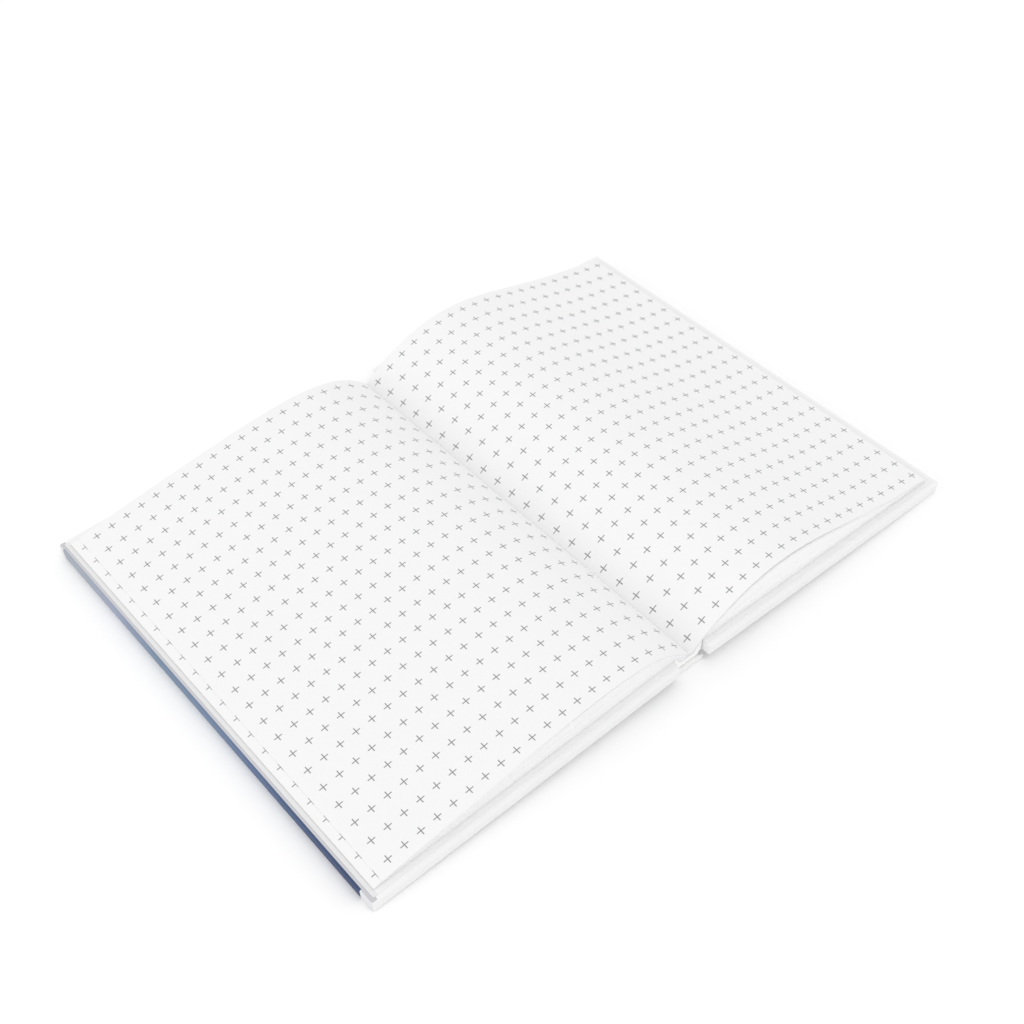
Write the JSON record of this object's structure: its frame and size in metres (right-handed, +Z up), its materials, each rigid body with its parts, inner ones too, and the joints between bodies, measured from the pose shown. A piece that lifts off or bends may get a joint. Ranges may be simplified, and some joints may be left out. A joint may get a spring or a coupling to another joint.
{
  "type": "pilot logbook",
  "caption": "Open hardcover notebook with printed cross-grid pages, sewn sections, hinged cover boards and turning leaves.",
  "frame": {"origin": "centre of the case's footprint, on the surface that it lies on", "axes": "+X to the reader's right across the opening, +Y towards the head of the pages, +Z up"},
  "size_m": [0.2878, 0.2032, 0.0242],
  "materials": {
    "board": "matte",
    "front_cover_paper": "satin",
    "cover_paper": "satin",
    "endpaper": "matte",
    "page_paper": "matte",
    "lining_cloth": "matte",
    "thread": "matte"
  },
  "bodies": {
    "spine": {"spine_board": "board", "spine_cover_paper": "cover_paper", "front_joint_paper": "cover_paper", "back_joint_paper": "cover_paper", "spine_lining": "lining_cloth", "section_backs": "page_paper", "sewing_thread": "thread"},
    "front_cover": {"front_board": "board", "front_cover_paper": "front_cover_paper", "front_pastedown": "endpaper"},
    "back_cover": {"back_board": "board", "back_cover_paper": "cover_paper", "back_pastedown": "endpaper"},
    "left_pages": {"front_flyleaf": "endpaper", "left_section_1": "page_paper", "left_section_2": "page_paper", "left_section_3": "page_paper", "left_section_4": "page_paper", "left_leaf": "page_paper"},
    "right_pages": {"back_flyleaf": "endpaper", "right_section_1": "page_paper", "right_section_2": "page_paper", "right_section_3": "page_paper", "right_section_4": "page_paper"},
    "turning_leaf_1": {"right_leaf_1": "page_paper"},
    "turning_leaf_2": {"right_leaf_2": "page_paper"}
  },
  "joints": [
    {"name": "front_cover_hinge", "type": "hinge", "parent": "spine", "child": "front_cover", "pos_m": [-0.003, 0, 0.00727], "axis": [0, -1, 0], "range_deg": [-91.7, 0], "deforming": ["front_joint_paper"]},
    {"name": "back_cover_hinge", "type": "hinge", "parent": "spine", "child": "back_cover", "pos_m": [0.0066, 0, 0.00727], "axis": [0, 1, 0], "range_deg": [-91.7, 0], "deforming": ["back_joint_paper"]},
    {"name": "left_pages_hinge", "type": "hinge", "parent": "spine", "child": "left_pages", "pos_m": [-0.003, 0, 0.00727], "axis": [0, -1, 0], "range_deg": [-91.7, 0], "deforming": ["left_section_2", "left_section_3", "left_section_4", "left_leaf"]},
    {"name": "right_pages_hinge", "type": "hinge", "parent": "spine", "child": "right_pages", "pos_m": [0.0066, 0, 0.00727], "axis": [0, 1, 0], "range_deg": [-91.7, 0], "deforming": ["right_section_2", "right_section_3", "right_section_4"]},
    {"name": "leaf_1_turn", "type": "hinge", "parent": "right_pages", "child": "turning_leaf_1", "pos_m": [0.0106, 0, 0.01205], "axis": [0, -1, 0], "range_deg": [0, 140], "deforming": ["right_leaf_1"]},
    {"name": "leaf_2_turn", "type": "hinge", "parent": "right_pages", "child": "turning_leaf_2", "pos_m": [0.0106, 0, 0.01176], "axis": [0, -1, 0], "range_deg": [0, 136], "deforming": ["right_leaf_2"]}
  ],
  "couplings": [
    {"joint": "left_pages_hinge", "follows": "front_cover_hinge", "ratio": 1},
    {"joint": "right_pages_hinge", "follows": "back_cover_hinge", "ratio": 1}
  ]
}
